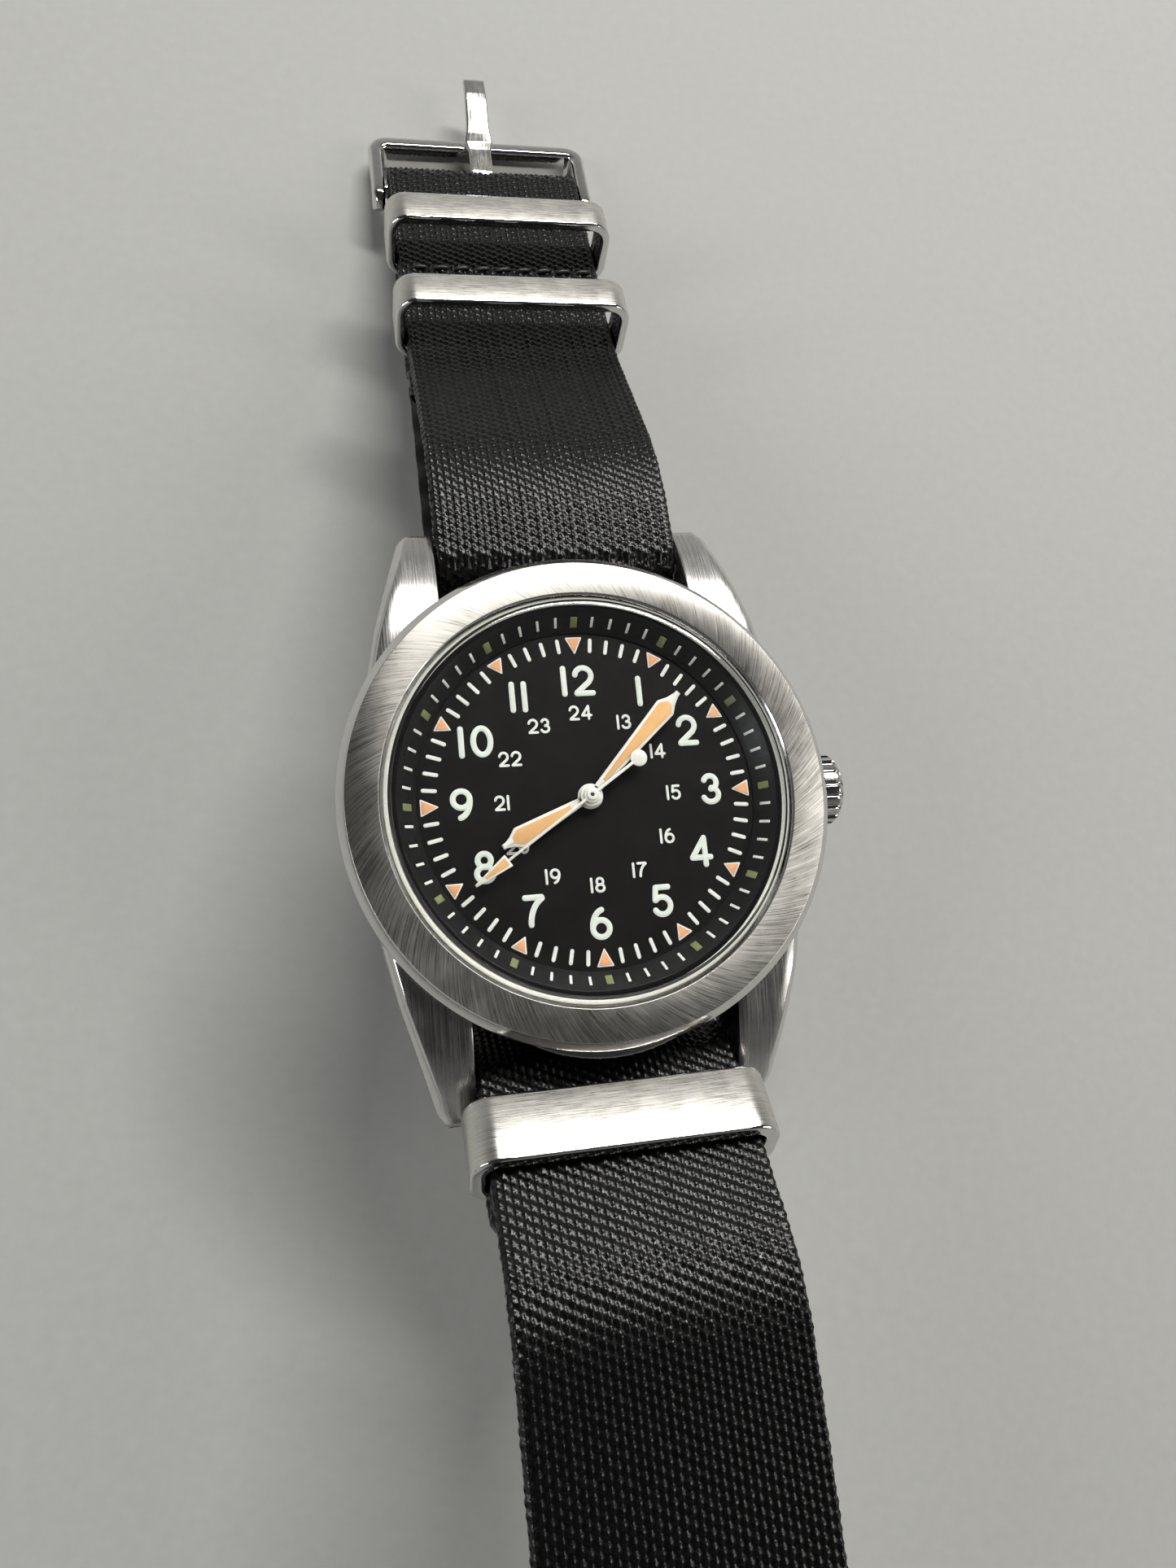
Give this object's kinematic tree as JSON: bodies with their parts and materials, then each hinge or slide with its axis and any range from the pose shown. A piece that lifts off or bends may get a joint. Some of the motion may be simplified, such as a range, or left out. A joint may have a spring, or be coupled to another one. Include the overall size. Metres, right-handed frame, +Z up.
{
  "type": "wristwatch",
  "caption": "Three-hand field wristwatch with a steel case, crown, black 12/24-hour dial and inner works, on a pull-through woven strap with keepers and a tongue buckle.",
  "frame": {"origin": "bottom centre of the bounding box, on the floor that the buckle and the tail rest on", "axes": "+Z up, out of the dial; +Y towards 12 o'clock and the buckle; +X towards 3 o'clock and the crown"},
  "size_m": [0.0406, 0.24, 0.0352],
  "materials": {
    "case_steel": "brushed",
    "bezel_steel": "circular brushed",
    "crystal_glass": "clear",
    "clear_plastic": "clear",
    "dial_black": "matte",
    "holder_plastic": "matte",
    "gasket_rubber": "matte",
    "polished_steel": "polished",
    "ring_steel": "brushed",
    "movement_steel": "fine ground",
    "movement_plate": "plated",
    "jewel_red": "polished",
    "blued_steel": "blued",
    "wheel_brass": "gilt",
    "hand_white": "gloss",
    "strap_webbing": "woven"
  },
  "bodies": {
    "case": {"mid_case": "case_steel", "bezel": "bezel_steel", "crystal": "crystal_glass", "crystal_gasket": "clear_plastic", "chapter_ring": "dial_black", "dial": "dial_black", "movement_holder": "holder_plastic", "case_back": "case_steel", "back_gasket": "gasket_rubber", "crown_tube": "polished_steel", "main_plate": "movement_plate", "train_bridge": "movement_plate", "balance_cock": "movement_plate", "plate_jewels": "jewel_red", "bridge_screws": "blued_steel", "hairspring": "blued_steel", "rotor_bearing": "movement_steel", "bar_tube_12": "movement_steel", "bar_tube_6": "movement_steel", "strap_main": "strap_webbing", "strap_short": "strap_webbing"},
    "seconds": {"seconds_hand": "hand_white", "fourth_wheel": "wheel_brass"},
    "minutes": {"minute_hand": "hand_white", "center_wheel": "wheel_brass"},
    "hours": {"hour_hand": "hand_white", "hour_wheel": "wheel_brass"},
    "motion_work": {"minute_wheel": "wheel_brass"},
    "third": {"third_wheel": "wheel_brass"},
    "barrel": {"mainspring_barrel": "wheel_brass"},
    "escape": {"escape_wheel": "movement_steel"},
    "pallet": {"pallet_fork": "movement_steel"},
    "balance": {"balance_wheel": "wheel_brass"},
    "rotor": {"rotor_plate": "movement_plate", "rotor_weight": "movement_steel"},
    "clutch": {"sliding_pinion": "movement_steel"},
    "winder": {"winding_pinion": "movement_steel"},
    "crown": {"crown": "polished_steel", "crown_gasket": "gasket_rubber", "winding_stem": "movement_steel"},
    "tip_12_right": {"bar_tip_12_right": "movement_steel"},
    "tip_12_left": {"bar_tip_12_left": "movement_steel"},
    "tip_6_right": {"bar_tip_6_right": "movement_steel"},
    "tip_6_left": {"bar_tip_6_left": "movement_steel"},
    "keeper_1": {"keeper_ring_1": "ring_steel"},
    "keeper_2": {"keeper_ring_2": "ring_steel"},
    "slide_loop": {"slide_ring": "ring_steel"},
    "buckle": {"buckle_frame": "polished_steel", "buckle_bar": "polished_steel"},
    "tongue": {"buckle_tongue": "ring_steel"}
  },
  "joints": [
    {"name": "seconds_turn", "type": "hinge", "parent": "case", "child": "seconds", "pos_m": [-0.00135, 0.03585, 0.02603], "axis": [0, 0, -1], "continuous": true},
    {"name": "minutes_turn", "type": "hinge", "parent": "case", "child": "minutes", "pos_m": [-0.00135, 0.03585, 0.02603], "axis": [0, 0, -1], "continuous": true},
    {"name": "hours_turn", "type": "hinge", "parent": "case", "child": "hours", "pos_m": [-0.00135, 0.03585, 0.02603], "axis": [0, 0, -1], "continuous": true},
    {"name": "minute_wheel_turn", "type": "hinge", "parent": "case", "child": "motion_work", "pos_m": [0.00028, 0.03303, 0.02603], "axis": [0, 0, -1], "continuous": true},
    {"name": "third_wheel_turn", "type": "hinge", "parent": "case", "child": "third", "pos_m": [0.0026, 0.03254, 0.02603], "axis": [0, 0, -1], "continuous": true},
    {"name": "barrel_turn", "type": "hinge", "parent": "case", "child": "barrel", "pos_m": [-0.00671, 0.04035, 0.02603], "axis": [0, 0, -1], "continuous": true},
    {"name": "escape_wheel_turn", "type": "hinge", "parent": "case", "child": "escape", "pos_m": [-0.00299, 0.03134, 0.02603], "axis": [0, 0, -1], "continuous": true},
    {"name": "pallet_swing", "type": "hinge", "parent": "case", "child": "pallet", "pos_m": [-0.00495, 0.02925, 0.02603], "axis": [0, 0, 1], "range_deg": [-5, 5]},
    {"name": "balance_swing", "type": "hinge", "parent": "case", "child": "balance", "pos_m": [-0.0065, 0.02765, 0.02603], "axis": [0, 0, 1], "range_deg": [-120, 120], "stiffness_Nm_per_rad": 0.000002, "deforming": ["hairspring"]},
    {"name": "rotor_spin", "type": "hinge", "parent": "case", "child": "rotor", "pos_m": [-0.00135, 0.03585, 0.02603], "axis": [0, 0, 1], "continuous": true},
    {"name": "crown_turn", "type": "hinge", "parent": "case", "child": "clutch", "pos_m": [-0.00135, 0.03585, 0.02333], "axis": [1, 0, 0], "continuous": true},
    {"name": "winding_pinion_turn", "type": "hinge", "parent": "case", "child": "winder", "pos_m": [-0.00135, 0.03585, 0.02333], "axis": [1, 0, 0], "continuous": true},
    {"name": "crown_pull", "type": "slide", "parent": "clutch", "child": "crown", "axis": [1, 0, 0], "range_m": [0, 0.0012]},
    {"name": "spring_bar_tip_12_right", "type": "slide", "parent": "case", "child": "tip_12_right", "axis": [-1, 0, 0], "range_m": [0, 0.0013], "stiffness_N_per_m": 300},
    {"name": "spring_bar_tip_12_left", "type": "slide", "parent": "case", "child": "tip_12_left", "axis": [1, 0, 0], "range_m": [0, 0.0013], "stiffness_N_per_m": 300},
    {"name": "spring_bar_tip_6_right", "type": "slide", "parent": "case", "child": "tip_6_right", "axis": [-1, 0, 0], "range_m": [0, 0.0013], "stiffness_N_per_m": 300},
    {"name": "spring_bar_tip_6_left", "type": "slide", "parent": "case", "child": "tip_6_left", "axis": [1, 0, 0], "range_m": [0, 0.0013], "stiffness_N_per_m": 300},
    {"name": "keeper_1_tilt", "type": "hinge", "parent": "case", "child": "keeper_1", "pos_m": [-0.00135, 0.09561, 0.00701], "axis": [1, 0, 0], "range_deg": [-7, 7]},
    {"name": "keeper_2_tilt", "type": "hinge", "parent": "case", "child": "keeper_2", "pos_m": [-0.00135, 0.08443, 0.01043], "axis": [1, 0, 0], "range_deg": [-7, 7]},
    {"name": "slide_ring_tilt", "type": "hinge", "parent": "case", "child": "slide_loop", "pos_m": [-0.00135, 0.00965, 0.02393], "axis": [1, 0, 0], "range_deg": [-2, 3]},
    {"name": "buckle_swing", "type": "hinge", "parent": "case", "child": "buckle", "pos_m": [-0.00135, 0.10643, 0.00341], "axis": [1, 0, 0], "range_deg": [0, 45]},
    {"name": "tongue_swing", "type": "hinge", "parent": "buckle", "child": "tongue", "pos_m": [-0.00135, 0.10643, 0.00341], "axis": [1, 0, 0], "range_deg": [0, 65]}
  ],
  "couplings": [
    {"joint": "minutes_turn", "follows": "seconds_turn", "ratio": 0.016667},
    {"joint": "hours_turn", "follows": "seconds_turn", "ratio": 0.0013889},
    {"joint": "minute_wheel_turn", "follows": "seconds_turn", "ratio": -0.0055556},
    {"joint": "third_wheel_turn", "follows": "seconds_turn", "ratio": -0.125},
    {"joint": "barrel_turn", "follows": "seconds_turn", "ratio": -0.0035088},
    {"joint": "escape_wheel_turn", "follows": "seconds_turn", "ratio": -7.5},
    {"joint": "winding_pinion_turn", "follows": "crown_turn", "ratio": 1}
  ]
}
